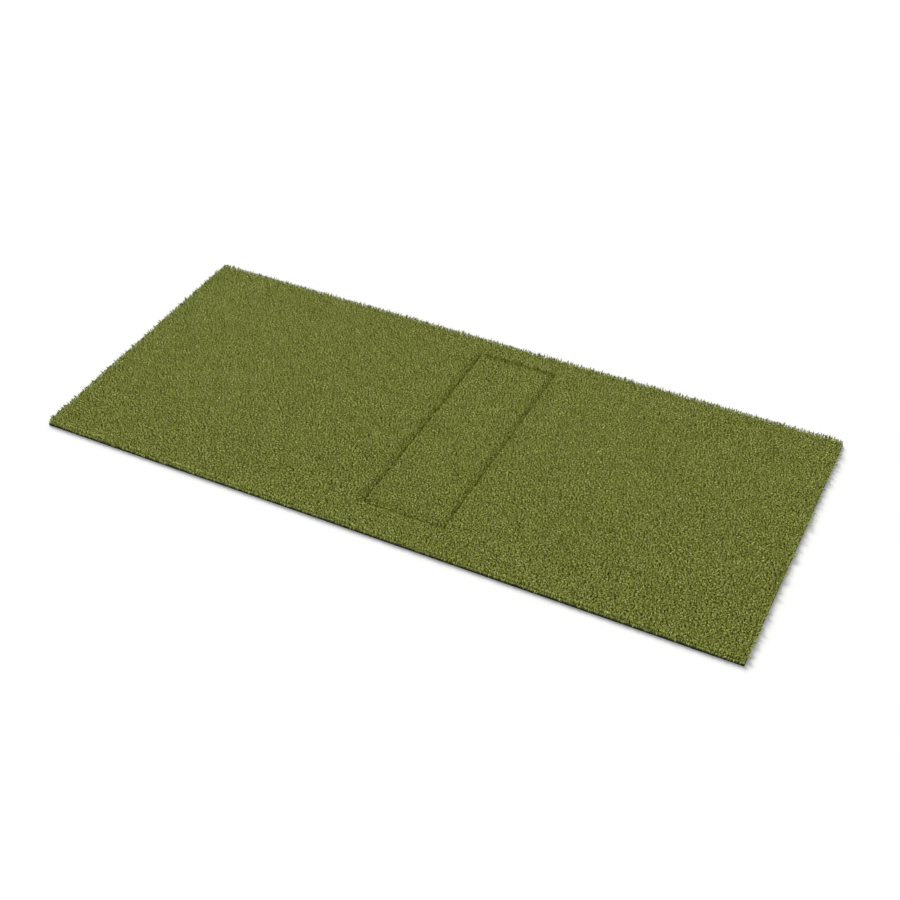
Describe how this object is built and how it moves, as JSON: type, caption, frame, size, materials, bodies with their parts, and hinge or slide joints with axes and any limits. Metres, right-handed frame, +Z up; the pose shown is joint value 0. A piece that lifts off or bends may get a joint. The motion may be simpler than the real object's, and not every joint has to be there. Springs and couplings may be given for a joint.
{
  "type": "golf hitting mat",
  "caption": "Long rectangular golf practice mat of short green turf on a thin foam and rubber base, with a lift-out hitting strip set across its middle.",
  "frame": {"origin": "middle of the underside, on the surface that the mat lies on", "axes": "+X along the mat's length, +Y from its front edge to its back edge, +Z up"},
  "size_m": [2.743, 1.219, 0.0265],
  "materials": {
    "rubber": "matt black non-slip rubber sheet",
    "foam": "matt black closed-cell foam with fine cells on its cut edges",
    "coating": "dull black polymer coating",
    "cloth": "coarse woven tape-yarn cloth, dark grey green",
    "turf": "olive green tufted blades, satin, slightly varied in tone",
    "felt": "dark needled felt",
    "hook_tape": "black hook tape, rows of small hooks",
    "loop_tape": "black loop tape, brushed"
  },
  "bodies": {
    "mat": {"rubber_sheet": "rubber", "foam_underlay": "foam", "turf_coating": "coating", "turf_cloth": "cloth", "turf_pile": "turf", "hook_tape_left": "hook_tape", "hook_tape_right": "hook_tape", "hook_tape_front": "hook_tape", "hook_tape_back": "hook_tape"},
    "strip": {"strip_felt": "felt", "strip_cushion": "foam", "strip_coating": "coating", "strip_cloth": "cloth", "strip_pile": "turf", "loop_tape_left": "loop_tape", "loop_tape_right": "loop_tape", "loop_tape_front": "loop_tape", "loop_tape_back": "loop_tape"}
  },
  "joints": [
    {"name": "strip_lift", "type": "slide", "parent": "mat", "child": "strip", "axis": [0, 0, 1], "range_m": [0, 0.15]}
  ]
}
